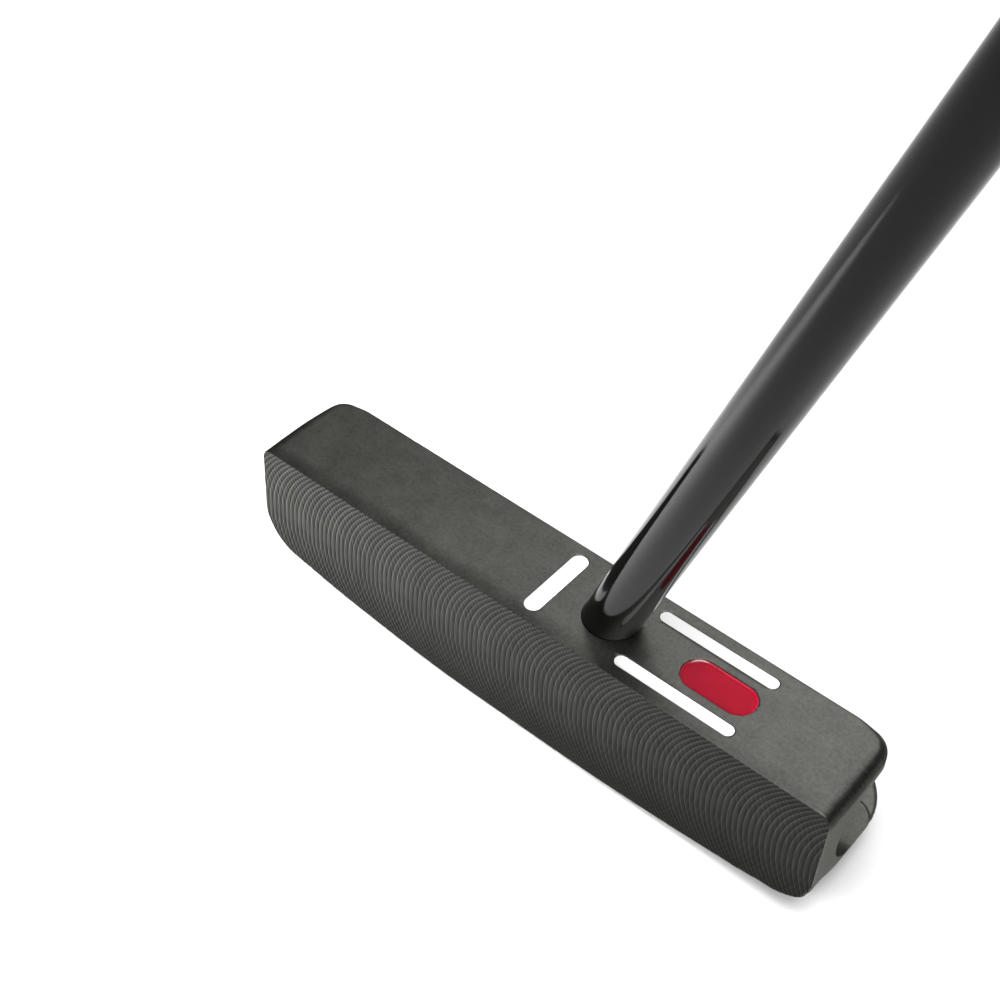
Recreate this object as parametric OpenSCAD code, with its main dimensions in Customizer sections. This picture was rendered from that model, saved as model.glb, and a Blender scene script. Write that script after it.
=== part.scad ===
// Centre-shafted blade putter, right-handed, milled in one piece with a rear cove.
// Frame: +Z up, the striking face looks towards -Y, the heel towards +X, the toe towards -X.
// Origin: the middle of the flat of the sole, under the middle of the top plate.

/* [Head] */
// Length of the blade from toe to heel
head_len = 119; // [114:0.5:126]
// Depth of the top plate from the face edge to the rear edge
top_w = 19.05; // [18:0.05:21]
// Height from the sole to the top plate
head_h = 26.6; // [25.4:0.1:28]
// Thickness of the top plate over the rear cove
plate_t = 3.7; // [3:0.1:5]
// Radius of the rear cove
cove_r = 7.8; // [6.5:0.1:8.2]
// Thickness of the face wall at its thinnest, measured from the top edge
face_t = 4.4; // [3.6:0.1:6]
// Radius of the round end of each cove, seen from above
cutter_r = 12.5; // [10:0.5:14]
// Toe side of the solid block between the two coves, at its narrowest
block_toe_x = -4; // [-8:0.5:-3.5]
// Heel side of the solid block between the two coves, at its narrowest
block_heel_x = 18; // [17:0.5:24]
// How far the sole flange reaches behind the middle of the top plate
flange_y = 18; // [14:0.1:20]
// Loft of the face in degrees
loft = 3; // [1:0.5:5]
// Radius of the rear corners of the top plate, seen from above
plate_corner_r = 3.6; // [3:0.1:7]
// Radius of the rear corners of the sole flange, seen from above
flange_corner_r = 11.5; // [6:0.5:13]
// Radius where the sole turns up into the toe and heel ends
end_r = 5.5; // [4:0.5:9]
// How far the two ends lean in from the top plate to the end radius
end_lean = 0.15; // [0:0.05:0.5]
// Radius of the soft edge between the top plate and the two ends
crown_r = 1.6; // [0.8:0.1:2.5]
// Camber radius of the sole towards the toe
camber_toe_r = 230; // [200:5:600]
// Camber radius of the sole towards the heel
camber_heel_r = 400; // [250:10:600]
// Half length of the uncambered middle of the sole
sole_flat = 6; // [4:0.5:12]

/* [Shaft] */
// Lie angle between the shaft and the ground
lie = 70; // [68:0.5:73]
// Where the shaft leaves the top plate, towards the heel from mid-blade
shaft_x = 10.85; // [9:0.05:14]
// Outer diameter of the parallel tip section
tip_d = 9.4; // [9.35:0.05:9.5]
// Outer diameter of the butt section
butt_d = 14.7; // [14.2:0.1:15.2]
// Wall thickness of the steel tube
wall_t = 0.5; // [0.45:0.05:0.8]
// Number of steps between the tip and the butt
step_n = 12; // [8:1:14]
// Distance between two steps
step_pitch = 26; // [18:1:28]
// Where the first step is, from the ground along the shaft
step_start = 280; // [240:5:300]
// Glue gap between the shaft and its bore
glue_t = 0.1; // [0.08:0.01:0.2]
// Club length from the ground to the end of the grip, along the shaft
club_len = 864; // [864:1:914]

/* [Grip] */
// Length of the grip with its cap
grip_len = 265; // [250:5:275]
// Thickness of the double-sided tape under the grip
tape_t = 0.2; // [0.15:0.05:0.3]
// Thickness of the outer skin
skin_t = 1.2; // [1:0.1:1.6]
// Width at the mouth, across the flat
mouth_w = 20.5; // [19.5:0.5:22]
// Width at the cap, across the flat
cap_w = 27.5; // [24:0.5:29]
// Thickness of the end cap
cap_t = 4; // [3:0.5:6]
// Diameter of the vent hole in the cap
vent_d = 2; // [1.5:0.1:3]

/* [Marks] */
// Width of the centre sight line
sight_w = 3.1; // [2:0.1:3.6]
// Length of the centre sight line
sight_len = 15; // [12:0.5:16]
// Width of the two heel-side lines
guide_w = 2.3; // [1.6:0.1:2.6]
// Length of the two heel-side lines
guide_len = 22.8; // [16:0.2:26]
// Distance of each heel-side line from the middle of the top plate
guide_y = 6.03; // [5.5:0.01:7]
// Length of the red aiming pill
pill_len = 13.7; // [10:0.1:15]
// Width of the red aiming pill
pill_w = 6.35; // [5:0.05:7]
// Depth of the milled recess for each line
mark_depth = 0.7; // [0.5:0.1:1]
// Depth of the milled recess for the pill
pill_depth = 1; // [0.8:0.1:1.4]
// How far the paint stops below the top plate in a line
line_sink = 0.15; // [0.05:0.05:0.3]
// How far the paint stops below the top plate in the pill
pill_sink = 0.4; // [0.1:0.05:0.6]

/* [Hidden] */
$fn = 96;

half = head_len / 2;
cove_z = head_h - plate_t - cove_r;            // height of the cove's centre line
cove_y = -top_w / 2 + face_t + cove_r;         // depth of the cove's centre line
floor_z = cove_z - cove_r;                     // top of the sole flange
lead_r = 1.0;                                  // leading edge, face to sole
trail_r = 3.2;                                 // lower rear edge of the flange
bore_d = tip_d + 2 * glue_t;
bore_s = 4.4;                                  // bottom of the bore, along the shaft
ground_x = shaft_x - head_h / tan(lie);        // where the shaft's axis meets the ground
butt_s = club_len - cap_t;                     // butt end of the steel tube
mouth_s = club_len - grip_len;                 // lower end of the grip
sight_x = -0.64;
guide_x = 27.75;
pill_x = 32.2;
line_fill = mark_depth - line_sink;
pill_fill = pill_depth - pill_sink;

// Points along an arc in the plane, from angle a0 to a1
function arc(cx, cy, r, a0, a1, n) =
    [for (i = [0:n]) let (a = a0 + (a1 - a0) * i / n) [cx + r * cos(a), cy + r * sin(a)]];

// One end of the front outline, x outwards from mid-blade: camber, end radius, crown radius
function end_points(camber) =
    let (fx = half - end_lean - end_r,
         fz = camber - sqrt(pow(camber - end_r, 2) - pow(fx - sole_flat, 2)),
         at = atan2(fz - camber, fx - sole_flat))
    concat(arc(sole_flat, camber, camber, -90, at, 14),
           arc(fx, fz, end_r, at, 0, 8),
           arc(half - crown_r, head_h - crown_r, crown_r, 0, 90, 6));

function flip(pts) = [for (i = [len(pts) - 1:-1:0]) [-pts[i][0], pts[i][1]]];

// Front outline of the head, x against z
module front_outline() {
    polygon(concat(end_points(camber_heel_r), flip(end_points(camber_toe_r))));
}

// Cross-section of the blade before the coves are cut, y against z
module blade_section() {
    foot_y = -top_w / 2 - (head_h - lead_r) * tan(loft) + lead_r / cos(loft);
    polygon(concat(
        [[-top_w / 2, head_h]],
        arc(foot_y, lead_r, lead_r, 180 - loft, 270, 6),
        [[cove_y, 0], [top_w / 2, 2]],
        arc(top_w / 2 - 0.6, head_h - 0.6, 0.6, 0, 90, 3)));
}

// Edge of the round-nosed cutter that makes a cove, from its own axis outwards
module cutter_profile() {
    translate([0, cove_z - cove_r]) square([cutter_r - cove_r, 2 * cove_r]);
    translate([cutter_r - cove_r, cove_z]) intersection() {
        circle(r = cove_r);
        translate([0, -cove_r]) square([cove_r, 2 * cove_r]);
    }
}

// Cove from one end of the blade to where the cutter stops; side is -1 at the toe, 1 at the heel
module cove(side) {
    stop_x = side < 0 ? block_toe_x - cutter_r : block_heel_x + cutter_r;
    cutter_y = cove_y - cove_r + cutter_r;
    translate([stop_x, cutter_y, 0]) {
        rotate_extrude() cutter_profile();
        rotate([90, 0, side * 90]) linear_extrude(80) mirror([side > 0 ? 1 : 0, 0]) union() {
            cutter_profile();
            translate([-30, cove_z - cove_r]) square([30, 2 * cove_r]);
        }
    }
}

// Cross-section of the flange behind the cove, y against z
module flange_section() {
    polygon(concat(
        [[-3, 0], [flange_y - 8.5, 0], [flange_y - 5.5, 0.35]],
        arc(flange_y - trail_r, 0.7 + trail_r, trail_r, -65, 0, 6),
        arc(flange_y - 2, floor_z - 2.3, 2, 0, 80, 5),
        [[cove_y, floor_z], [-3, floor_z]]));
}

// Seen from above: a plate with square corners at the face and round ones behind
module plan(back, r) {
    polygon(concat(
        [[-half, -15], [half, -15]],
        arc(half - r, back - r, r, 0, 90, 12),
        arc(-half + r, back - r, r, 90, 180, 12)));
}

// The shaft's own frame: z runs up the shaft from the ground, -x is the side that faces up
module along_shaft() {
    translate([ground_x, 0, 0]) rotate([0, 90 - lie, 0]) children();
}

module along_x() { translate([-half - 5, 0, 0]) rotate([90, 0, 90]) linear_extrude(head_len + 10) children(); }

// Slot with round ends, from the top plate down
module stadium(l, w, z0, h) {
    translate([0, 0, z0]) linear_extrude(h) union() {
        square([l - w, w], center = true);
        translate([-(l - w) / 2, 0]) circle(d = w);
        translate([(l - w) / 2, 0]) circle(d = w);
    }
}

module sight_slot(z0, h) { translate([sight_x, 0, 0]) rotate([0, 0, 90]) stadium(sight_len, sight_w, z0, h); }
module guide_slot(side, z0, h) { translate([guide_x, side * guide_y, 0]) stadium(guide_len, guide_w, z0, h); }
module pill_slot(z0, h) { translate([pill_x, 0, 0]) stadium(pill_len, pill_w, z0, h); }

// Head: milled from one bar
module head_body() {
    color([0.16, 0.16, 0.155]) difference() {
        intersection() {
            translate([0, 40, 0]) rotate([90, 0, 0]) linear_extrude(80) front_outline();
            union() {
                intersection() {
                    along_x() blade_section();
                    linear_extrude(head_h) plan(top_w / 2, plate_corner_r);
                }
                intersection() {
                    along_x() flange_section();
                    linear_extrude(head_h) plan(flange_y, flange_corner_r);
                }
            }
        }
        cove(-1);
        cove(1);
        along_shaft() translate([0, 0, bore_s]) cylinder(d = bore_d, h = 40);
        sight_slot(head_h - mark_depth, 2);
        guide_slot(-1, head_h - mark_depth, 2);
        guide_slot(1, head_h - mark_depth, 2);
        pill_slot(head_h - pill_depth, 3);
    }
}

// Paint fills, poured into their recesses
module sight_line_center() { color([0.95, 0.95, 0.95]) sight_slot(head_h - mark_depth, line_fill); }
module guide_line_front() { color([0.95, 0.95, 0.95]) guide_slot(-1, head_h - mark_depth, line_fill); }
module guide_line_rear() { color([0.95, 0.95, 0.95]) guide_slot(1, head_h - mark_depth, line_fill); }
module aim_pill() { color([0.68, 0.05, 0.1]) pill_slot(head_h - pill_depth, pill_fill); }

// Outer profile of the stepped tube, radius against distance from the ground
function tube_profile(inset) = concat(
    [[tip_d / 2 - inset, bore_s]],
    [for (i = [0:step_n - 1])
        let (r0 = tip_d / 2 + (butt_d - tip_d) / 2 * i / step_n,
             r1 = tip_d / 2 + (butt_d - tip_d) / 2 * (i + 1) / step_n,
             s = step_start + i * step_pitch)
        for (p = [[r0 - inset, s], [r1 - inset, s + 1.2]]) p],
    [[butt_d / 2 - inset, butt_s]]);

function backwards(pts) = [for (i = [len(pts) - 1:-1:0]) pts[i]];

module shaft() {
    color([0.05, 0.05, 0.05]) along_shaft()
        rotate_extrude() polygon(concat(tube_profile(0), backwards(tube_profile(wall_t))));
}

// Cured glue between the shaft and its bore, level with the top plate
module shaft_epoxy() {
    color([0.1, 0.1, 0.1]) intersection() {
        along_shaft() difference() {
            translate([0, 0, bore_s]) cylinder(d = bore_d, h = 30);
            translate([0, 0, bore_s - 1]) cylinder(d = tip_d, h = 32);
        }
        translate([-20, -20, 0]) cube([60, 40, head_h - 0.15]);
    }
}

// Plug inside the tip that keeps glue out of the tube
module tip_plug() {
    color([0.75, 0.72, 0.6]) along_shaft() translate([0, 0, bore_s + 1]) cylinder(d = tip_d - 2 * wall_t, h = 12);
}

module grip_tape() {
    color([0.85, 0.82, 0.72]) along_shaft() difference() {
        translate([0, 0, mouth_s + 2]) cylinder(d = butt_d + 2 * tape_t, h = butt_s - mouth_s - 2);
        translate([0, 0, mouth_s]) cylinder(d = butt_d, h = butt_s - mouth_s + 2);
    }
}

// Grip outline at t from 0 at the mouth to 1 at the cap: flat side at -x, belly at +x
function spow(v, e) = sign(v) * pow(abs(v), e);
function smooth(t) = t * t * (3 - 2 * t);
function half_width(t) = (mouth_w + (cap_w - mouth_w) * smooth(min(1, t * 1.25))) / 2;
function flat_side(t) = mouth_w / 2 - 0.2 + 1.2 * t;
function belly(t) = mouth_w / 2 + 1.4 * smooth(min(1, t / 0.55)) + 4.2 * smooth(max(0, (t - 0.5) / 0.5));
function grip_ring(t, inset, n) = [for (i = [0:n - 1])
    let (a = 360 * i / n, c = cos(a), s = sin(a), k = 0.62 + 0.38 * (1 - min(1, t * 2)))
    c > 0 ? [(belly(t) - inset) * spow(c, 1), (half_width(t) - inset) * spow(s, 1)]
          : [(flat_side(t) - inset) * spow(c, k * 0.8), (half_width(t) - inset) * spow(s, k)]];

module grip_solid(inset, s0, s1) {
    n = 32;
    m = 14;
    rings = [for (j = [0:m]) let (s = s0 + (s1 - s0) * j / m, t = (s - mouth_s) / (grip_len - cap_t))
        [for (p = grip_ring(t, inset, n)) [p[0], p[1], s]]];
    pts = [for (r = rings) for (p = r) p];
    faces = concat(
        [[for (i = [0:n - 1]) i]],
        [[for (i = [n - 1:-1:0]) m * n + i]],
        [for (j = [0:m - 1]) for (i = [0:n - 1])
            let (a = j * n + i, b = j * n + (i + 1) % n) each [[a, a + n, b + n], [a, b + n, b]]]);
    polyhedron(points = pts, faces = faces, convexity = 4);
}

// Foam sleeve that the skin is wrapped on
module grip_core() {
    color([0.2, 0.2, 0.21]) along_shaft() difference() {
        grip_solid(skin_t, mouth_s + 2, butt_s);
        translate([0, 0, mouth_s]) cylinder(d = butt_d + 2 * tape_t, h = grip_len);
    }
}

// Outer skin with a rolled mouth that closes on the tube
module grip_skin() {
    color([0.1, 0.1, 0.11]) along_shaft() union() {
        difference() {
            grip_solid(0, mouth_s + 2, butt_s);
            grip_solid(skin_t, mouth_s + 2, butt_s);
        }
        difference() {
            translate([0, 0, mouth_s]) cylinder(d1 = mouth_w - 3, d2 = mouth_w - 0.8, h = 2);
            translate([0, 0, mouth_s - 1]) cylinder(d = butt_d, h = 4);
        }
    }
}

// End cap with its vent hole
module grip_cap() {
    color([0.08, 0.08, 0.08]) along_shaft() difference() {
        union() {
            translate([0, 0, butt_s]) linear_extrude(cap_t - 1) polygon(grip_ring(1, 0, 48));
            translate([0, 0, butt_s + cap_t - 1]) linear_extrude(1) polygon(grip_ring(1, 1, 48));
        }
        translate([0, 0, butt_s - 1]) cylinder(d = vent_d, h = cap_t + 2);
    }
}

head_body();
sight_line_center();
guide_line_front();
guide_line_rear();
aim_pill();
shaft();
shaft_epoxy();
tip_plug();
grip_tape();
grip_core();
grip_skin();
grip_cap();
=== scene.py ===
"""Blade putter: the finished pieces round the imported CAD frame. Metres; face towards -Y, heel towards +X, up is +Z."""
import math

import bpy
import numpy as np
from mathutils import Matrix, Vector


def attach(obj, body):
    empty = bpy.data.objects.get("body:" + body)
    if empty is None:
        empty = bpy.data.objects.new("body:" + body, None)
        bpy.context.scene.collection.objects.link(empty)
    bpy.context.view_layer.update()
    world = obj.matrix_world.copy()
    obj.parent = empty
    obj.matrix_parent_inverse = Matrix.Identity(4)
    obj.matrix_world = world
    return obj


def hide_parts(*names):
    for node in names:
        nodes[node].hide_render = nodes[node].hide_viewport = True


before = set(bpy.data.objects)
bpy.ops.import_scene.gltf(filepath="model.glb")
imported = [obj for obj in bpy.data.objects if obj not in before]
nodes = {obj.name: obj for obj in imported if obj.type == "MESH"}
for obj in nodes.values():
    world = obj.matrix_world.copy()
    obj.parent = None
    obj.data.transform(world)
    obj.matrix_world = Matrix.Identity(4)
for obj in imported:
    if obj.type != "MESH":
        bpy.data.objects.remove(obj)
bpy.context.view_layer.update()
scene = bpy.context.scene

# ---------------------------------------------------------------- sizes in millimetres, as in the part's source
HALF, TOP_W, HEAD_H = 59.5, 19.05, 26.6
LOFT = math.radians(3)
COVE_Y, COVE_Z, COVE_R = 2.675, 15.1, 7.8
CUT_R, TOE_STOP, HEEL_STOP = 12.5, -4 - 12.5, 18 + 12.5
FLANGE_Y, FLOOR_Z = 18.0, 7.3
LIE = math.radians(70)
GROUND_X = 10.85 - HEAD_H / math.tan(LIE)
TIP_D, BUTT_D, WALL_T = 9.4, 14.7, 0.5
BORE_S, BORE_D = 4.4, 9.6
STEP_N, STEP_PITCH, STEP_START = 12, 26, 280
BUTT_S, MOUTH_S, CAP_T, GRIP_LEN = 860, 599, 4, 265
MOUTH_W, CAP_W, SKIN_T = 20.5, 27.5, 1.2
SHAFT_AXIS = Vector((math.cos(LIE), 0, math.sin(LIE)))


# ---------------------------------------------------------------- mesh helpers
def add_mesh(name, verts, faces, smooth=40.0):
    """Mesh object from millimetre vertices."""
    me = bpy.data.meshes.new(name)
    me.from_pydata((np.asarray(verts, float) / 1000).tolist(), [], [list(map(int, f)) for f in faces])
    me.validate()
    me.update()
    ob = bpy.data.objects.new(name, me)
    scene.collection.objects.link(ob)
    if smooth:
        me.shade_smooth()
        me.set_sharp_from_angle(angle=math.radians(smooth))
    return ob


def loft(rings, wrap=False, cap=True):
    """Faces over a list of rings with the same number of points; wrap joins the last ring to the first."""
    n = len(rings[0])
    verts = np.concatenate([np.asarray(r, float) for r in rings])
    m = len(rings)
    faces = []
    last = m if wrap else m - 1
    for j in range(last):
        k = (j + 1) % m
        for i in range(n):
            i2 = (i + 1) % n
            faces.append((j * n + i, j * n + i2, k * n + i2, k * n + i))
    if not wrap and cap:
        faces.append(tuple(range(n - 1, -1, -1)))
        faces.append(tuple((m - 1) * n + i for i in range(n)))
    return verts, faces


def up_shaft(p):
    """Points from the shaft's own frame (z up the shaft) to the row frame, in millimetres."""
    p = np.asarray(p, float)
    a = math.pi / 2 - LIE
    x = p[:, 0] * math.cos(a) + p[:, 2] * math.sin(a) + GROUND_X
    z = -p[:, 0] * math.sin(a) + p[:, 2] * math.cos(a)
    return np.stack([x, p[:, 1], z], 1)


def circle(r, s, n):
    a = np.arange(n) * 2 * np.pi / n
    return np.stack([r * np.cos(a), r * np.sin(a), np.full(n, float(s))], 1)


def stadium(cx, cy, length, width, inset, z, turned=False, n=20):
    """Outline of a slot with round ends, counter-clockwise from above."""
    l, w = length - 2 * inset, width - 2 * inset
    a = np.linspace(-np.pi / 2, np.pi / 2, n)
    half = (l - w) / 2
    x = np.concatenate([half + w / 2 * np.cos(a), -half - w / 2 * np.cos(a)])
    y = np.concatenate([w / 2 * np.sin(a), -w / 2 * np.sin(a)])
    if turned:
        x, y = -y, x
    return np.stack([cx + x, cy + y, np.full(len(x), float(z))], 1)


def smoothstep(v, a, b):
    t = np.clip((v - a) / (b - a), 0, 1)
    return t * t * (3 - 2 * t)


# ---------------------------------------------------------------- head: solid as a field, then its surface
def round_and(a, b, r):
    return np.minimum(-r, np.maximum(a, b)) + np.hypot(np.maximum(a + r, 0), np.maximum(b + r, 0))


def round_or(a, b, r):
    return np.maximum(r, np.minimum(a, b)) - np.hypot(np.maximum(r - a, 0), np.maximum(r - b, 0))


def head_field(x, y, z):
    """Below zero inside the milled head, without its paint recesses and bore."""
    ax = np.abs(x)
    camber = np.where(x < 0, 230.0, 400.0)
    run = np.maximum(ax - 6, 0)
    sole = camber - np.sqrt(camber ** 2 - run ** 2) - z
    end = ax + 0.0083 * (HEAD_H - z) - HALF
    bowed = end + np.where(x < 0, 0.008, 0.004) * np.clip(y + 4, 0, 11) ** 2
    tip = smoothstep(ax, 51.5, 57.0)
    top_r = 0.45 + 1.35 * tip
    low_r = 3.2 + (2.3 + 1.3 * smoothstep(-y, 2.0, 9.0)) * smoothstep(ax, 43.0, 51.0)
    face = -(y + TOP_W / 2 + (HEAD_H - z) * math.tan(LOFT)) * math.cos(LOFT)
    block = round_and(bowed, y - TOP_W / 2, np.where(x < 0, 3.3, 3.8))
    roll = 0.05 * np.clip(ax - 56.6, 0, 2.9) ** 2
    block = round_and(block, z - HEAD_H + roll, top_r)
    block = round_and(block, sole, low_r)
    flange = round_and(end, y - FLANGE_Y, 11.5)
    flange = round_and(flange, z - FLOOR_Z, 1.0)
    flange = round_and(flange, sole, low_r)
    nose = 0.7 * (1 - smoothstep(np.abs(z - FLOOR_Z), 1.5, 3.5)) + 1e-3
    solid = round_or(block, flange, nose)
    edge = 0.32 + 0.75 * (1 - smoothstep(z, 1.5, 5.5)) - 0.20 * smoothstep(z, 24.5, 26.0) * (1 - 0.6 * tip)
    solid = round_and(solid, face, edge)
    cy = COVE_Y - COVE_R + CUT_R
    for stop, side in ((TOE_STOP, -1), (HEEL_STOP, 1)):
        back = np.maximum((stop - x) * side, 0)
        d = np.hypot(back, y - cy)
        cut = np.hypot(np.maximum(d - (CUT_R - COVE_R), 0), z - COVE_Z) - COVE_R
        solid = round_and(solid, -cut, 0.01 + 0.21 * smoothstep(z, 8.0, 9.2))
    return solid


def axis_lines(*stops):
    """Grid lines from (start, step) pairs and a closing stop."""
    out = []
    for (a, step), b in zip(stops[:-1], [s[0] if isinstance(s, tuple) else s for s in stops[1:]]):
        k = max(1, int(round((b - a) / step)))
        out += list(np.linspace(a, b, k, endpoint=False))
    out.append(stops[-1])
    return np.array(out)


def surface_of(field, X, Y, Z):
    """Dual contouring: one vertex in each cell that the surface crosses, placed from the field's slopes, so edges stay crisp."""
    nx, ny, nz = len(X), len(Y), len(Z)
    V = field(X[:, None, None], Y[None, :, None], Z[None, None, :])
    inside = V < 0
    cells = (nx - 1, ny - 1, nz - 1)
    total = cells[0] * cells[1] * cells[2]
    G = (X, Y, Z)
    ids, normals, points, quads = [], [], [], []
    for ax in range(3):
        lo = [slice(None)] * 3
        hi = [slice(None)] * 3
        lo[ax], hi[ax] = slice(0, -1), slice(1, None)
        flip = inside[tuple(lo)] ^ inside[tuple(hi)]
        i, j, k = np.nonzero(flip)
        a = np.stack([X[i], Y[j], Z[k]], 1)
        b = a.copy()
        idx = [i, j, k]
        b[:, ax] = G[ax][idx[ax] + 1]
        fa = V[i, j, k]
        starts_in = fa < 0
        t0, t1 = np.zeros(len(i)), np.ones(len(i))
        for _ in range(14):
            t = (t0 + t1) / 2
            p = a + (b - a) * t[:, None]
            f = field(p[:, 0], p[:, 1], p[:, 2])
            same = (f < 0) == starts_in
            t0 = np.where(same, t, t0)
            t1 = np.where(same, t1, t)
        t = (t0 + t1) / 2
        p = a + (b - a) * t[:, None]
        h = 1e-3
        g = np.stack([
            field(p[:, 0] + h, p[:, 1], p[:, 2]) - field(p[:, 0] - h, p[:, 1], p[:, 2]),
            field(p[:, 0], p[:, 1] + h, p[:, 2]) - field(p[:, 0], p[:, 1] - h, p[:, 2]),
            field(p[:, 0], p[:, 1], p[:, 2] + h) - field(p[:, 0], p[:, 1], p[:, 2] - h)], 1)
        g /= np.linalg.norm(g, axis=1, keepdims=True) + 1e-12
        u, v = (ax + 1) % 3, (ax + 2) % 3
        around = []
        for du, dv in ((-1, -1), (0, -1), (0, 0), (-1, 0)):
            c = [i.copy(), j.copy(), k.copy()]
            c[u] = c[u] + du
            c[v] = c[v] + dv
            cid = (c[0] * cells[1] + c[1]) * cells[2] + c[2]
            around.append(cid)
            ids.append(cid)
            normals.append(g)
            points.append(p)
        q = np.stack(around, 1)
        q[~starts_in] = q[~starts_in][:, ::-1]
        quads.append(q)
    ids, normals, points = np.concatenate(ids), np.concatenate(normals), np.concatenate(points)
    quads = np.concatenate(quads)
    used, inv = np.unique(ids, return_inverse=True)
    m = len(used)
    count = np.bincount(inv, minlength=m).astype(float)
    mass = np.stack([np.bincount(inv, points[:, c], m) for c in range(3)], 1) / count[:, None]
    rel = points - mass[inv]
    dist = (normals * rel).sum(1)
    A = np.zeros((m, 3, 3))
    B = np.zeros((m, 3))
    for r in range(3):
        B[:, r] = np.bincount(inv, normals[:, r] * dist, m)
        for c in range(3):
            A[:, r, c] = np.bincount(inv, normals[:, r] * normals[:, c], m)
    w, vec = np.linalg.eigh(A)
    keep = w > 0.06 * w[:, 2:3]
    winv = np.where(keep, 1 / np.where(keep, w, 1), 0)
    sol = np.einsum("nij,nj,nkj,nk->ni", vec, winv, vec, B)
    ci = used // (cells[1] * cells[2])
    cj = (used // cells[2]) % cells[1]
    ck = used % cells[2]
    low = np.stack([X[ci], Y[cj], Z[ck]], 1)
    high = np.stack([X[ci + 1], Y[cj + 1], Z[ck + 1]], 1)
    verts = np.clip(mass + sol, low, high)
    faces = np.searchsorted(used, quads)
    return verts, faces


X = axis_lines((-60.3, 0.3), (-59.7, 0.13), (-58.9, 0.3), (-56, 0.55), (-46, 1.3), (-30, 0.6), (-3.4, 1.2),
               (17.4, 0.6), (44, 1.0), (47, 0.55), (56, 0.3), (58.9, 0.13), (59.7, 0.3), 60.3)
Y = axis_lines((-11.4, 0.22), (-9.75, 0.075), (-9.25, 0.45), (-5.4, 0.36), (2.0, 0.6), (8.2, 0.22), (10.4, 0.5),
               (13.4, 0.35), 18.4)
Z = axis_lines((-0.4, 0.2), (0.6, 0.42), (6.7, 0.2), (8.2, 0.45), (22.6, 0.2), (23.2, 0.4), (24.8, 0.25),
               (26.2, 0.075), (26.65, 0.15), 26.8)
hv, hf = surface_of(head_field, X, Y, Z)
head = add_mesh("putter_head_milled", hv, hf, smooth=0)


# cutters: three line recesses, the pill recess and the shaft bore
SLOTS = {
    "sight_line_center": dict(cx=-0.64, cy=0.0, length=15.0, width=3.1, turned=True, deep=0.7, sink=0.15),
    "guide_line_front": dict(cx=27.75, cy=-6.03, length=22.8, width=2.3, turned=False, deep=0.7, sink=0.15),
    "guide_line_rear": dict(cx=27.75, cy=6.03, length=22.8, width=2.3, turned=False, deep=0.7, sink=0.15),
    "aim_pill": dict(cx=32.2, cy=0.0, length=13.7, width=6.35, turned=False, deep=1.0, sink=0.4),
}
cut_v, cut_f, base = [], [], 0


def add_cutter(rings):
    global base
    v, f = loft(rings)
    cut_v.append(v)
    cut_f.extend([tuple(i + base for i in face) for face in f])
    base += len(v)


for s in SLOTS.values():
    lip = 0.1
    add_cutter([stadium(s["cx"], s["cy"], s["length"], s["width"], inset, z, s["turned"], 26) for inset, z in (
        (0.0, HEAD_H - s["deep"]), (0.0, HEAD_H - lip), (-0.03, HEAD_H - lip * 0.45), (-lip, HEAD_H), (-lip - 0.4, HEAD_H + 0.3))])
add_cutter([up_shaft(circle(BORE_D / 2, z, 128)) for z in (BORE_S, 60.0)])
cutter = add_mesh("recess_cutter", np.concatenate(cut_v), cut_f, smooth=0)
mod = head.modifiers.new("recesses", "BOOLEAN")
mod.operation, mod.solver, mod.object = "DIFFERENCE", "EXACT", cutter
dg = bpy.context.evaluated_depsgraph_get()
cut_mesh = bpy.data.meshes.new_from_object(head.evaluated_get(dg))
head.modifiers.clear()
old = head.data
head.data = cut_mesh
bpy.data.meshes.remove(old)
bpy.data.objects.remove(cutter)
head.data.name = "putter_head_milled"
head.data.shade_smooth()
head.data.set_sharp_from_angle(angle=math.radians(40))


# ---------------------------------------------------------------- paint fills, with a meniscus where the paint climbs the wall
def fill_piece(name, s):
    wall = 0.02
    top = HEAD_H - s["sink"]
    climb = 0.10 if s["deep"] < 0.9 else 0.26
    reach = 0.28 if s["deep"] < 0.9 else 0.75
    rows = [(wall, HEAD_H - s["deep"] + 0.005)]
    for q in np.linspace(0, 1, 7):
        rows.append((wall + reach * q, top - 0.002 + climb * (1 - q) ** 2.2))
    rings = [stadium(s["cx"], s["cy"], s["length"], s["width"], inset, z, s["turned"], 26) for inset, z in rows]
    v, f = loft(rings)
    ob = add_mesh(name, v, f, smooth=50)
    return ob


fills = {n: fill_piece(n + "_paint", s) for n, s in SLOTS.items()}


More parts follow.
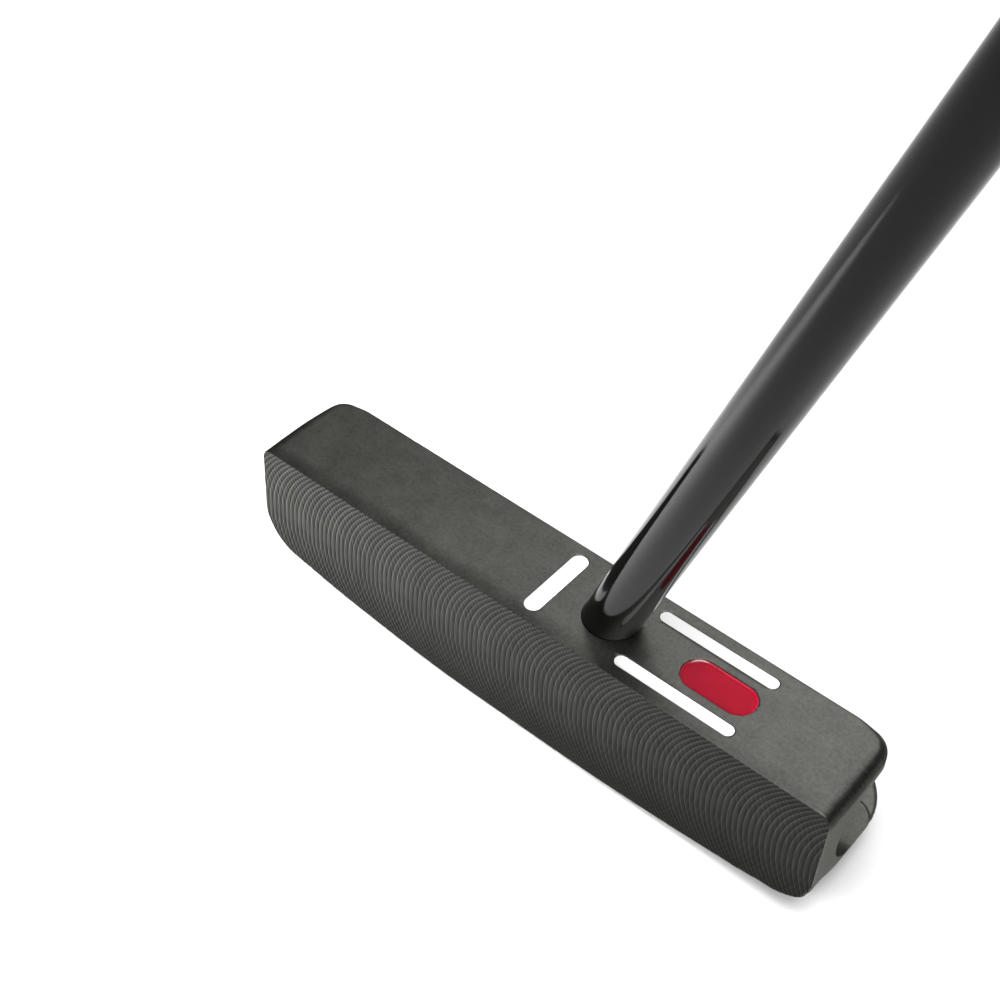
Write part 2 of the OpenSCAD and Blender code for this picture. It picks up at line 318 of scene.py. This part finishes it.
# ---------------------------------------------------------------- shaft: stepped steel tube
def shaft_piece():
    n = 128
    prof = [(TIP_D / 2 - 0.25, BORE_S), (TIP_D / 2 - 0.07, BORE_S + 0.08), (TIP_D / 2, BORE_S + 0.3)]
    prof += [(TIP_D / 2, s) for s in np.linspace(BORE_S + 10, STEP_START - 2, 14)]
    rise = (BUTT_D - TIP_D) / 2 / STEP_N
    for i in range(STEP_N):
        r0 = TIP_D / 2 + rise * i
        s0 = STEP_START + i * STEP_PITCH
        for q in (0.0, 0.18, 0.36, 0.5, 0.64, 0.82, 1.0):
            prof.append((r0 + rise * float(smoothstep(q, 0, 1)), s0 + 1.2 * q))
        prof.append((r0 + rise, s0 + 6))
    prof += [(BUTT_D / 2, s) for s in np.linspace(STEP_START + STEP_N * STEP_PITCH, BUTT_S - 2, 6)]
    prof += [(BUTT_D / 2, BUTT_S - 0.2), (BUTT_D / 2 - 0.1, BUTT_S), (BUTT_D / 2 - WALL_T, BUTT_S)]
    for i in range(STEP_N - 1, -1, -1):
        r0 = TIP_D / 2 + rise * i - WALL_T
        s0 = STEP_START + i * STEP_PITCH
        prof += [(r0 + rise, s0 + 1.2), (r0, s0)]
    prof.append((TIP_D / 2 - WALL_T, BORE_S))
    v, f = loft([up_shaft(circle(r, s, n)) for r, s in prof], wrap=True)
    return add_mesh("shaft_tube_stepped", v, f, smooth=40)


shaft = shaft_piece()


# ---------------------------------------------------------------- grip: skin with moulded texture, and its cap
def grip_outline(t, inset, n):
    a = np.arange(n) * 2 * np.pi / n
    c, s = np.cos(a), np.sin(a)
    k = 0.62 + 0.38 * (1 - min(1.0, t * 2))
    half_w = (MOUTH_W + (CAP_W - MOUTH_W) * float(smoothstep(min(1.0, t * 1.25), 0, 1))) / 2
    flat = MOUTH_W / 2 - 0.2 + 1.2 * t
    belly = MOUTH_W / 2 + 1.4 * float(smoothstep(t / 0.55, 0, 1)) + 4.2 * float(smoothstep((t - 0.5) / 0.5, 0, 1))
    x = np.where(c > 0, (belly - inset) * c, (flat - inset) * np.sign(c) * np.abs(c) ** (k * 0.8))
    y = np.where(c > 0, (half_w - inset) * s, (half_w - inset) * np.sign(s) * np.abs(s) ** k)
    return x, y, a


def grip_texture(s, a, x, y, t):
    """Depth of the moulded pattern: small diamonds round the sides and belly, fine cross ribs on the flat, plain bands at the ends."""
    run = np.clip((s - MOUTH_S - 14) / 5, 0, 1) * np.clip((MOUTH_S + GRIP_LEN - CAP_T - 12 - s) / 5, 0, 1)
    arc = a * 11.0
    pitch = 3.6
    d1 = np.abs(((arc + (s - MOUTH_S)) / pitch) % 1 - 0.5) * 2
    d2 = np.abs(((arc - (s - MOUTH_S)) / pitch) % 1 - 0.5) * 2
    groove = np.maximum(smoothstep(d1, 0.72, 0.98), smoothstep(d2, 0.72, 0.98))
    flat = smoothstep(-np.cos(a), 0.55, 0.70)
    side = 1 - smoothstep(-np.cos(a), 0.38, 0.50)
    rib = smoothstep(np.abs((s / 2.4) % 1 - 0.5) * 2, 0.35, 0.85)
    seam = smoothstep(np.abs(-np.cos(a) - 0.52), 0.05, 0.015)
    return run * (0.32 * groove * side + 0.20 * rib * flat * (1 - smoothstep(np.abs(y), 5.5, 6.3)) + 0.22 * seam)


def grip_skin_piece():
    n = 176
    rings = []
    for s, r in ((MOUTH_S, BUTT_D / 2 + 0.02), (MOUTH_S, MOUTH_W / 2 - 1.9), (MOUTH_S + 0.12, MOUTH_W / 2 - 1.62),
                 (MOUTH_S + 0.5, MOUTH_W / 2 - 1.3), (MOUTH_S + 1.2, MOUTH_W / 2 - 0.85), (MOUTH_S + 1.8, MOUTH_W / 2 - 0.5)):
        rings.append(circle(r, s, n))
    s_line = list(np.linspace(MOUTH_S + 2, BUTT_S - 0.6, 470)) + [BUTT_S - 0.3, BUTT_S]
    for s in s_line:
        t = (s - MOUTH_S) / (GRIP_LEN - CAP_T)
        ease = 0.28 * (1 - float(smoothstep(s, MOUTH_S + 2, MOUTH_S + 5))) + (0.3 if s == BUTT_S else 0.06 if s == BUTT_S - 0.3 else 0)
        x, y, a = grip_outline(t, ease, n)
        depth = grip_texture(s, a, x, y, t)
        size = np.hypot(x, y)
        rings.append(np.stack([x * (1 - depth / size), y * (1 - depth / size), np.full(n, s)], 1))
    for s in np.linspace(BUTT_S, MOUTH_S + 2, 12):
        x, y, a = grip_outline((s - MOUTH_S) / (GRIP_LEN - CAP_T), SKIN_T, n)
        rings.append(np.stack([x, y, np.full(n, s)], 1))
    rings.append(circle(BUTT_D / 2 + 0.02, MOUTH_S + 2, n))
    v, f = loft([up_shaft(r) for r in rings], wrap=True)
    return add_mesh("grip_skin_moulded", v, f, smooth=50)


def grip_cap_piece():
    n = 176
    rings = []
    # (inset of the outline, height up the shaft, how far the outline has turned into the vent's circle)
    rows = [(0.35, BUTT_S, 0), (0.08, BUTT_S + 0.15, 0), (0.0, BUTT_S + 0.4, 0), (0.0, BUTT_S + 2.4, 0), (0.1, BUTT_S + 2.9, 0),
            (0.36, BUTT_S + 3.35, 0), (0.75, BUTT_S + 3.68, 0), (1.25, BUTT_S + 3.9, 0), (1.9, BUTT_S + 4.0, 0), (2.6, BUTT_S + 4.0, 0.02)]
    rows += [(0, BUTT_S + 4.0, 0.30), (0, BUTT_S + 3.98, 0.33), (0, BUTT_S + 3.72, 0.36), (0, BUTT_S + 3.70, 0.41),
             (0, BUTT_S + 3.72, 0.46), (0, BUTT_S + 3.98, 0.49), (0, BUTT_S + 4.0, 0.52)]
    rows += [(0, BUTT_S + 4.0, q) for q in (0.6, 0.7, 0.8, 0.9, 0.965)] + [(0, BUTT_S + 3.97, 0.985), (0, BUTT_S + 3.8, 1.0),
             (0, BUTT_S + 2.0, 1.0), (0, BUTT_S, 1.0)]
    for inset, s, q in rows:
        x, y, a = grip_outline(1.0, inset if q < 0.1 else 2.6, n)
        x = x * (1 - q) + 1.0 * np.cos(a) * q
        y = y * (1 - q) + 1.0 * np.sin(a) * q
        rings.append(np.stack([x, y, np.full(n, s)], 1))
    v, f = loft([up_shaft(r) for r in rings], wrap=True)
    return add_mesh("grip_cap_moulded", v, f, smooth=50)


skin = grip_skin_piece()
cap = grip_cap_piece()


# ---------------------------------------------------------------- materials
class Nodes:
    """A short way to write a node material."""

    def __init__(self, name):
        self.mat = bpy.data.materials.new(name)
        self.mat.use_nodes = True
        self.t = self.mat.node_tree
        self.t.nodes.clear()
        self.out = self.t.nodes.new("ShaderNodeOutputMaterial")
        self.b = self.t.nodes.new("ShaderNodeBsdfPrincipled")
        self.t.links.new(self.b.outputs[0], self.out.inputs[0])
        self.co = self.t.nodes.new("ShaderNodeTexCoord").outputs["Object"]

    def set(self, **kw):
        for k, v in kw.items():
            self.b.inputs[k.replace("_", " ")].default_value = v
        return self

    def link(self, a, b):
        self.t.links.new(a, b)

    def math(self, op, a, b=None, c=None, clamp=False):
        n = self.t.nodes.new("ShaderNodeMath")
        n.operation, n.use_clamp = op, clamp
        for i, v in enumerate((a, b, c)):
            if v is None:
                continue
            if isinstance(v, (int, float)):
                n.inputs[i].default_value = v
            else:
                self.link(v, n.inputs[i])
        return n.outputs[0]

    def split(self, vec):
        n = self.t.nodes.new("ShaderNodeSeparateXYZ")
        self.link(vec, n.inputs[0])
        return n.outputs

    def scaled(self, vec, s):
        n = self.t.nodes.new("ShaderNodeVectorMath")
        n.operation = "MULTIPLY"
        self.link(vec, n.inputs[0])
        n.inputs[1].default_value = s
        return n.outputs[0]

    def noise(self, scale, detail=2.0, rough=0.5, vec=None, kind="FBM"):
        n = self.t.nodes.new("ShaderNodeTexNoise")
        n.inputs["Scale"].default_value = scale
        n.inputs["Detail"].default_value = detail
        n.inputs["Roughness"].default_value = rough
        self.link(vec or self.co, n.inputs["Vector"])
        return n.outputs["Fac"]

    def cells(self, scale, vec=None, feature="F1"):
        n = self.t.nodes.new("ShaderNodeTexVoronoi")
        n.feature = feature
        n.inputs["Scale"].default_value = scale
        self.link(vec or self.co, n.inputs["Vector"])
        return n.outputs["Distance"]

    def remap(self, v, a, b, c, d, kind="LINEAR"):
        n = self.t.nodes.new("ShaderNodeMapRange")
        n.interpolation_type = kind
        self.link(v, n.inputs["Value"])
        for k, val in zip(("From Min", "From Max", "To Min", "To Max"), (a, b, c, d)):
            n.inputs[k].default_value = val
        return n.outputs["Result"]

    def ramp(self, v, stops):
        n = self.t.nodes.new("ShaderNodeValToRGB")
        el = n.color_ramp.elements
        while len(el) < len(stops):
            el.new(0.5)
        for e, (p, c) in zip(el, stops):
            e.position = p
            e.color = (*c, 1) if len(c) == 3 else c
        self.link(v, n.inputs[0])
        return n.outputs[0]

    def bump(self, height, distance, strength=1.0, normal=None):
        n = self.t.nodes.new("ShaderNodeBump")
        n.inputs["Strength"].default_value = strength
        n.inputs["Distance"].default_value = distance
        self.link(height, n.inputs["Height"])
        if normal is not None:
            self.link(normal, n.inputs["Normal"])
        return n.outputs[0]

    def to(self, **kw):
        for k, v in kw.items():
            self.link(v, self.b.inputs[k.replace("_", " ")])
        return self


def grey(v, tint=(1.0, 0.99, 0.91)):
    return tuple(v * c for c in tint)


# black blasted finish: fine grain and faint blotches of random tone, with painted shade along the front top edge, on
# the rounded crowns at the ends and inside the coves
HEAD_BASE, FACE_BASE = 0.121, 0.0325


def blasted_black():
    m = Nodes("head_black_blasted")
    fine = m.noise(5200, 3, 0.6)
    soft = m.noise(260, 3, 0.55)
    wide = m.noise(48, 3, 0.6)
    grit = m.noise(1500, 2, 0.6)
    tone = m.math("ADD", m.math("MULTIPLY", fine, 0.35), m.math("MULTIPLY", grit, 0.45))
    tone = m.math("ADD", tone, m.math("ADD", m.math("MULTIPLY", wide, 0.35), m.math("MULTIPLY", soft, 0.35)))
    x, y, z = m.split(m.scaled(m.co, (1000, 1000, 1000)))
    ax = m.math("ABSOLUTE", x)
    # painted shade: a darker band on the top along the front edge, strongest on the toe side
    painted_shade_front_edge = m.math("MULTIPLY", m.remap(y, -5.5, -9.4, 0.0, 0.26, "SMOOTHSTEP"), m.remap(x, -4.0, 30.0, 1.0, 0.35, "SMOOTHSTEP"))
    painted_shade_front_edge = m.math("MULTIPLY", painted_shade_front_edge, m.remap(z, 26.0, 26.5, 0.0, 1.0))
    # painted shade: a darker band over the rounded crowns at both ends
    painted_shade_crowns = m.math("MULTIPLY", m.remap(ax, 56.4, 58.6, 0.0, 0.34, "SMOOTHSTEP"), m.remap(z, 23.5, 25.6, 0.0, 1.0, "SMOOTHSTEP"))
    # painted shade: the coves behind the top plate are darkened inside
    painted_shade_coves = m.math("MULTIPLY", m.remap(ax, 59.0, 59.3, 1.0, 0.0), m.remap(y, 8.7, 9.3, 0.13, 0.0))
    painted_shade_coves = m.math("MULTIPLY", painted_shade_coves, m.math("MULTIPLY", m.remap(y, -8.0, -6.0, 0.0, 1.0), m.math("MULTIPLY", m.remap(z, 7.0, 7.6, 0.0, 1.0), m.remap(z, 22.4, 23.2, 1.0, 0.0))))
    # the three painted shades are taken off the grain's tone below
    shade = m.math("MAXIMUM", m.math("MAXIMUM", painted_shade_front_edge, painted_shade_crowns), painted_shade_coves)
    tone = m.math("SUBTRACT", m.math("MULTIPLY", tone, 0.667), shade)
    m.to(Base_Color=m.ramp(tone, [(0.0, grey(HEAD_BASE * 0.16)), (0.38, grey(HEAD_BASE * 0.76)), (0.62, grey(HEAD_BASE * 1.24))]))
    m.to(Roughness=m.remap(m.math("ADD", m.math("MULTIPLY", wide, 0.6), m.math("MULTIPLY", soft, 0.4)), 0.3, 0.7, 0.35, 0.43))
    grain = m.bump(m.math("ADD", m.math("MULTIPLY", fine, 0.5), grit), 0.00003, 0.6)
    m.to(Normal=m.bump(soft, 0.00005, 0.2, grain))
    m.set(Metallic=1.0, Specular_Tint=(0.50, 0.50, 0.47, 1.0))
    return m.mat


def milled_black():
    """The same finish over the arcs that a fly cutter leaves across the face, with painted shade that darkens the face
    towards the sole.
    """
    m = Nodes("head_black_milled")
    x, y, z = m.split(m.scaled(m.co, (1000, 1000, 1000)))
    radius, mid, pitch = 17.0, 14.1, 1.03
    dz = m.math("SUBTRACT", z, mid)
    bow = m.math("SQRT", m.math("MAXIMUM", m.math("SUBTRACT", radius * radius, m.math("MULTIPLY", dz, dz)), 0.01))
    wander = m.math("MULTIPLY", m.math("SUBTRACT", m.noise(90, 2, 0.5), 0.5), 0.10)
    fine = m.noise(5200, 3, 0.6)
    soft = m.noise(300, 3, 0.55)

    def family(centre, phase, climb):
        u = m.math("DIVIDE", m.math("ADD", m.math("SUBTRACT", centre, phase), wander), pitch)
        saw = m.math("FRACT", u)
        n = m.t.nodes.new("ShaderNodeValToRGB")
        el = n.color_ramp.elements
        n.color_ramp.interpolation = "EASE"
        stops = [(0.0, 0.10), (climb, 1.0), (climb + 0.22, 0.42), (0.72, 0.16), (0.90, 0.02), (1.0, 0.10)]
        while len(el) < len(stops):
            el.new(0.5)
        for e, (p, v) in zip(el, stops):
            e.position, e.color = p, (v, v, v, 1)
        m.link(saw, n.inputs[0])
        white = m.t.nodes.new("ShaderNodeTexWhiteNoise")
        white.noise_dimensions = "1D"
        m.link(m.math("FLOOR", u), white.inputs["W"])
        gain = m.remap(white.outputs["Value"], 0, 1, 0.72, 1.0)
        return m.math("MULTIPLY", n.outputs[0], gain)

    lead = family(m.math("ADD", x, bow), 17.37, 0.13)
    trail = family(m.math("SUBTRACT", x, bow), 0.2, 0.16)
    share = m.math("MULTIPLY", m.remap(z, 2.0, 24.0, 0.52, 0.36), m.remap(x, -10.0, 40.0, 1.0, 0.78))
    cut = m.math("ADD", lead, m.math("MULTIPLY", trail, share))
    crisp = m.math("ADD", m.remap(x, -50.0, -12.0, 0.36, 0.0, "SMOOTHSTEP"), m.remap(z, 8.0, 20.0, 0.0, 0.30, "SMOOTHSTEP"))
    cut = m.math("ADD", m.math("MULTIPLY", m.math("SUBTRACT", cut, 0.45), m.math("ADD", crisp, 1.0)), 0.45)
    tone = m.math("ADD", m.math("MULTIPLY", cut, 0.62), m.math("ADD", m.math("MULTIPLY", fine, 0.22), m.math("MULTIPLY", soft, 0.30)))
    # painted shade: the face's colour falls to 0.42 of its tone towards the sole
    depth = m.remap(z, 2.0, 19.0, 0.42, 1.0, "SMOOTHSTEP")
    tone = m.math("MULTIPLY", tone, m.math("MULTIPLY", depth, 0.5))
    m.to(Base_Color=m.ramp(tone, [(0.06, grey(FACE_BASE * 0.08)), (0.475, grey(FACE_BASE * 1.25)), (1.0, grey(FACE_BASE * 2.8))]))
    m.set(Specular_IOR_Level=0.05, Specular_Tint=(0.97, 1.0, 0.84, 1.0))
    m.to(Roughness=m.remap(cut, 0.0, 1.3, 0.50, 0.36))
    grain = m.bump(fine, 0.000012, 0.45)
    m.to(Normal=m.bump(cut, 0.000070, 1.0, grain))
    return m.mat


def paint_white():
    m = Nodes("white_paint_fill")
    soft = m.noise(900, 3, 0.5)
    speck = m.noise(5200, 2, 0.6)
    m.to(Base_Color=m.ramp(m.math("ADD", m.math("MULTIPLY", soft, 0.7), m.math("MULTIPLY", speck, 0.3)),
                           [(0.25, (0.86, 0.86, 0.85)), (0.75, (0.92, 0.92, 0.915))]))
    m.to(Roughness=m.remap(soft, 0.3, 0.7, 0.34, 0.46), Normal=m.bump(soft, 0.00003, 0.35))
    return m.mat


def paint_red(name, shine):
    m = Nodes(name)
    soft = m.noise(420, 3, 0.5)
    speck = m.noise(4200, 2, 0.6)
    m.to(Base_Color=m.ramp(m.math("ADD", m.math("MULTIPLY", soft, 0.65), m.math("MULTIPLY", speck, 0.35)),
                           [(0.25, (0.290, 0.0036, 0.0160)), (0.75, (0.360, 0.0056, 0.0240))]))
    m.to(Roughness=m.remap(soft, 0.3, 0.7, 0.18, 0.26), Normal=m.bump(soft, 0.00005, 0.22))
    m.set(Specular_IOR_Level=shine)
    return m.mat


def shaft_gloss():
    m = Nodes("shaft_black_gloss")
    peel = m.noise(620, 2, 0.5)
    speck = m.noise(3800, 2, 0.5)
    m.to(Base_Color=m.ramp(m.math("ADD", m.math("MULTIPLY", peel, 0.6), m.math("MULTIPLY", speck, 0.4)),
                           [(0.25, (0.0008, 0.0008, 0.0008)), (0.75, (0.0020, 0.0020, 0.0019))]))
    m.to(Roughness=m.remap(peel, 0.3, 0.7, 0.075, 0.115), Normal=m.bump(peel, 0.000006, 0.5))
    m.set(Specular_IOR_Level=0.22)
    return m.mat


def rubber(name, base, scale, rough):
    m = Nodes(name)
    grain = m.noise(scale, 4, 0.6)
    patch = m.noise(scale / 18, 3, 0.5)
    m.to(Base_Color=m.ramp(m.math("ADD", m.math("MULTIPLY", grain, 0.5), m.math("MULTIPLY", patch, 0.5)),
                           [(0.3, tuple(c * 0.75 for c in base)), (0.7, tuple(c * 1.3 for c in base))]))
    m.to(Roughness=m.remap(patch, 0.3, 0.7, rough - 0.06, rough + 0.06), Normal=m.bump(grain, 0.00007, 0.5))
    return m.mat


def epoxy():
    m = Nodes("epoxy_black")
    soft = m.noise(1400, 2, 0.5)
    m.to(Base_Color=m.ramp(soft, [(0.3, (0.010, 0.0095, 0.009)), (0.7, (0.022, 0.021, 0.019))]),
         Roughness=m.remap(soft, 0.3, 0.7, 0.25, 0.42), Normal=m.bump(soft, 0.00003, 0.4))
    return m.mat


def nylon():
    m = Nodes("plug_nylon_natural")
    rings = m.noise(700, 3, 0.5, m.scaled(m.co, (1, 1, 6)))
    m.to(Base_Color=m.ramp(rings, [(0.3, (0.56, 0.52, 0.40)), (0.7, (0.70, 0.66, 0.54))]),
         Roughness=m.remap(rings, 0.3, 0.7, 0.42, 0.56), Normal=m.bump(rings, 0.00008, 0.4))
    return m.mat


def paper():
    m = Nodes("tape_paper_crepe")
    crepe = m.noise(900, 3, 0.6, m.scaled(m.co, (1, 1, 5)))
    fibre = m.noise(4200, 3, 0.65)
    m.to(Base_Color=m.ramp(m.math("ADD", m.math("MULTIPLY", crepe, 0.6), m.math("MULTIPLY", fibre, 0.4)),
                           [(0.3, (0.55, 0.49, 0.34)), (0.7, (0.72, 0.66, 0.50))]),
         Roughness=m.remap(fibre, 0.3, 0.7, 0.70, 0.88), Normal=m.bump(crepe, 0.00012, 0.6))
    return m.mat


def foam():
    m = Nodes("grip_foam_grey")
    pores = m.cells(1500)
    patch = m.noise(90, 3, 0.5)
    m.to(Base_Color=m.ramp(m.math("ADD", m.math("MULTIPLY", pores, 0.7), m.math("MULTIPLY", patch, 0.4)),
                           [(0.1, (0.020, 0.020, 0.022)), (0.8, (0.062, 0.062, 0.066))]),
         Roughness=m.remap(patch, 0.3, 0.7, 0.82, 0.95), Normal=m.bump(pores, 0.00025, 0.7))
    return m.mat


mats = {
    "blasted": blasted_black(), "milled": milled_black(), "white": paint_white(), "red": paint_red("red_paint_fill", 0.07),
    "rim": paint_red("red_paint_rim", 0.95),
    "gloss": shaft_gloss(), "epoxy": epoxy(), "nylon": nylon(), "paper": paper(), "foam": foam(),
    "skin": rubber("grip_rubber_black", (0.020, 0.020, 0.0205), 3600, 0.62),
    "cap": rubber("grip_cap_rubber", (0.017, 0.017, 0.0175), 2600, 0.50),
}

head.data.materials.clear()
head.data.materials.append(mats["blasted"])
head.data.materials.append(mats["milled"])
nf = len(head.data.polygons)
nrm = np.zeros(nf * 3, np.float32)
head.data.polygons.foreach_get("normal", nrm)
nrm = nrm.reshape(-1, 3)
idx = (nrm @ np.array([0, -math.cos(LOFT), math.sin(LOFT)], np.float32) > 0.985).astype(np.int32)
head.data.polygons.foreach_set("material_index", idx)
head.data.update()
wn = head.modifiers.new("even_shading", "WEIGHTED_NORMAL")
wn.keep_sharp, wn.weight, wn.mode = True, 60, "FACE_AREA"

for n, ob in fills.items():
    ob.data.materials.append(mats["red"] if n == "aim_pill" else mats["white"])
    if n == "aim_pill":
        ob.data.materials.append(mats["rim"])
        around = 2 * 26
        for face in ob.data.polygons:
            face.material_index = 1 if around <= face.index < 3 * around else 0
shaft.data.materials.append(mats["gloss"])
skin.data.materials.append(mats["skin"])
cap.data.materials.append(mats["cap"])
for n, key in (("shaft_epoxy", "epoxy"), ("tip_plug", "nylon"), ("grip_tape", "paper"), ("grip_core", "foam")):
    nodes[n].data.materials.clear()
    nodes[n].data.materials.append(mats[key])

# ---------------------------------------------------------------- which CAD node each piece stands for
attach(head, "root"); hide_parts("head_body")
for n, ob in fills.items():
    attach(ob, "root"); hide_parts(n)
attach(shaft, "root"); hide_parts("shaft")
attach(skin, "root"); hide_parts("grip_skin")
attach(cap, "root"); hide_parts("grip_cap")

# ---------------------------------------------------------------- floor, light and camera
fv = [(-4000, -4000, -0.25), (4000, -4000, -0.25), (4000, 4000, -0.25), (-4000, 4000, -0.25)]
floor = add_mesh("floor", fv, [(0, 1, 2, 3)], smooth=0)
fm = Nodes("floor_white")
tone = fm.noise(35, 3, 0.5)
fm.to(Base_Color=fm.ramp(tone, [(0.3, (0.90, 0.90, 0.90)), (0.7, (0.915, 0.915, 0.915))]))
fm.set(Roughness=0.75, Specular_IOR_Level=0.2)
floor.data.materials.append(fm.mat)

world = bpy.data.worlds.new("studio")
scene.world = world
world.use_nodes = True
bg = world.node_tree.nodes["Background"]
bg.inputs["Color"].default_value = (1, 1, 1, 1)
bg.inputs["Strength"].default_value = 0.22


def softbox(name, place, aim, size, power, spread=180):
    light = bpy.data.lights.new(name, "AREA")
    light.spread = math.radians(spread)
    light.shape, light.size, light.energy = "DISK", size, power
    ob = bpy.data.objects.new(name, light)
    scene.collection.objects.link(ob)
    ob.location = place
    ob.rotation_euler = (Vector(aim) - Vector(place)).to_track_quat("-Z", "Y").to_euler()
    ob.visible_camera = False
    return ob


softbox("top_softbox", (0.15, -0.07, 0.94), (0.0, 0.07, 0.0), 0.80, 10.8)
softbox("toe_fill", (-0.22, -0.14, 0.045), (-0.057, -0.012, 0.014), 0.08, 0.275, 50).visible_glossy = False
softbox("rear_softbox", (-0.135, 0.55, 0.71), (0.01, 0, 0.02), 0.56, 1.17)

cam_data = bpy.data.cameras.new("camera")
cam_data.sensor_fit, cam_data.sensor_width, cam_data.lens = "HORIZONTAL", 36.0, 65.934
cam_data.clip_start, cam_data.clip_end = 0.01, 50
cam = bpy.data.objects.new("camera", cam_data)
scene.collection.objects.link(cam)
right = Vector((0.7602797, 0.6494171, 0.0152402)).normalized()
down = Vector((0.4749837, -0.5397583, -0.6950190))
down = (down - right * down.dot(right)).normalized()
ahead = right.cross(down)
cam.matrix_world = Matrix((
    (right.x, -down.x, -ahead.x, 0.11891713),
    (right.y, -down.y, -ahead.y, -0.15948702),
    (right.z, -down.z, -ahead.z, 0.25161903),
    (0, 0, 0, 1)))
scene.camera = cam
scene.view_settings.view_transform = "Standard"
scene.view_settings.look = "None"
